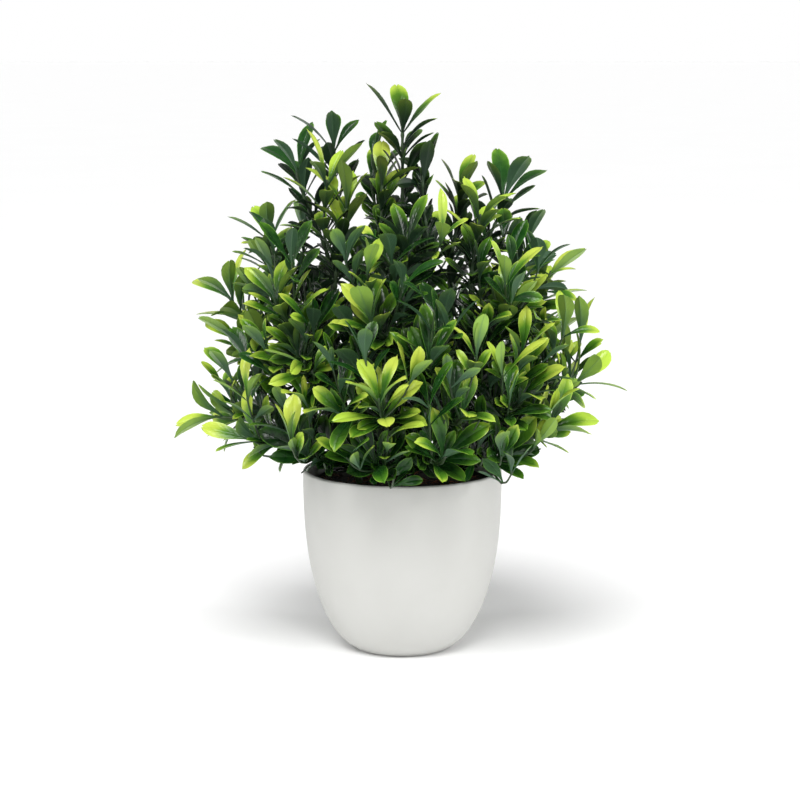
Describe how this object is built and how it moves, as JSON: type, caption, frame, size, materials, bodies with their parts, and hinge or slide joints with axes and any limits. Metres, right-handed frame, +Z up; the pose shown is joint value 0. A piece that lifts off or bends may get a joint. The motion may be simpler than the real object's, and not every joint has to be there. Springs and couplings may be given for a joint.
{
  "type": "artificial tabletop tree",
  "caption": "Small artificial leafy shrub in a round white bowl pot, with bendable branches set in a foam plug that lifts out of the pot.",
  "frame": {"origin": "centre of the pot's flat base, on the surface that it stands on", "axes": "+Z up along the pot's axis and the centre branch; -Y is the front, the side that the largest light green leaf whorl faces; +X to the right seen from the front"},
  "size_m": [0.202, 0.1854, 0.2554],
  "materials": {
    "pot_white": "matte off-white moulded plastic with a faint speckle",
    "cement_grey": "rough cast cement",
    "foam_cream": "dry rigid foam",
    "soil_brown": "dark brown moss and coir crust, glued on",
    "wire_steel": "bare steel wire",
    "stem_green": "dark green moulded polyethylene, slightly glossy",
    "leaf_green": "soft polyethylene, dark green with lime tips, satin"
  },
  "bodies": {
    "pot": {"pot": "pot_white", "cement_weight": "cement_grey"},
    "plug": {"foam_plug": "foam_cream", "soil_cover": "soil_brown", "wire_peg_centre": "wire_steel", "wire_peg_front": "wire_steel", "wire_peg_front_right": "wire_steel", "wire_peg_back_right": "wire_steel", "wire_peg_back": "wire_steel", "wire_peg_back_left": "wire_steel", "wire_peg_front_left": "wire_steel"},
    "branch_centre": {"stem_centre": "stem_green", "spray_centre_1": "leaf_green", "spray_centre_2": "leaf_green", "spray_centre_3": "leaf_green", "spray_centre_4": "leaf_green"},
    "branch_front": {"stem_front": "stem_green", "spray_front_1": "leaf_green", "spray_front_2": "leaf_green", "spray_front_3": "leaf_green", "spray_front_4": "leaf_green", "spray_front_5": "leaf_green", "spray_front_6": "leaf_green", "spray_front_7": "leaf_green", "spray_front_8": "leaf_green"},
    "branch_front_right": {"stem_front_right": "stem_green", "spray_front_right_1": "leaf_green", "spray_front_right_2": "leaf_green", "spray_front_right_3": "leaf_green", "spray_front_right_4": "leaf_green", "spray_front_right_5": "leaf_green", "spray_front_right_6": "leaf_green"},
    "branch_back_right": {"stem_back_right": "stem_green", "spray_back_right_1": "leaf_green", "spray_back_right_2": "leaf_green", "spray_back_right_3": "leaf_green", "spray_back_right_4": "leaf_green", "spray_back_right_5": "leaf_green", "spray_back_right_6": "leaf_green"},
    "branch_back": {"stem_back": "stem_green", "spray_back_1": "leaf_green", "spray_back_2": "leaf_green", "spray_back_3": "leaf_green", "spray_back_4": "leaf_green", "spray_back_5": "leaf_green", "spray_back_6": "leaf_green"},
    "branch_back_left": {"stem_back_left": "stem_green", "spray_back_left_1": "leaf_green", "spray_back_left_2": "leaf_green", "spray_back_left_3": "leaf_green", "spray_back_left_4": "leaf_green", "spray_back_left_5": "leaf_green", "spray_back_left_6": "leaf_green"},
    "branch_front_left": {"stem_front_left": "stem_green", "spray_front_left_1": "leaf_green", "spray_front_left_2": "leaf_green", "spray_front_left_3": "leaf_green", "spray_front_left_4": "leaf_green", "spray_front_left_5": "leaf_green", "spray_front_left_6": "leaf_green"}
  },
  "joints": [
    {"name": "plug_lift", "type": "slide", "parent": "pot", "child": "plug", "axis": [0, 0, 1], "range_m": [0, 0.09]},
    {"name": "turn_centre", "type": "hinge", "parent": "plug", "child": "branch_centre", "pos_m": [0, 0, 0.077], "axis": [0, 0, 1], "continuous": true},
    {"name": "bend_front", "type": "hinge", "parent": "plug", "child": "branch_front", "pos_m": [0, -0.022, 0.077], "axis": [1, 0, 0], "range_deg": [0, 15]},
    {"name": "bend_front_right", "type": "hinge", "parent": "plug", "child": "branch_front_right", "pos_m": [0.01905, -0.011, 0.077], "axis": [0.5, 0.866, 0], "range_deg": [0, 15]},
    {"name": "bend_back_right", "type": "hinge", "parent": "plug", "child": "branch_back_right", "pos_m": [0.01905, 0.011, 0.077], "axis": [-0.5, 0.866, 0], "range_deg": [0, 15]},
    {"name": "bend_back", "type": "hinge", "parent": "plug", "child": "branch_back", "pos_m": [0, 0.022, 0.077], "axis": [-1, 0, 0], "range_deg": [0, 15]},
    {"name": "bend_back_left", "type": "hinge", "parent": "plug", "child": "branch_back_left", "pos_m": [-0.01905, 0.011, 0.077], "axis": [-0.5, -0.866, 0], "range_deg": [0, 15]},
    {"name": "bend_front_left", "type": "hinge", "parent": "plug", "child": "branch_front_left", "pos_m": [-0.01905, -0.011, 0.077], "axis": [0.5, -0.866, 0], "range_deg": [0, 15]}
  ]
}
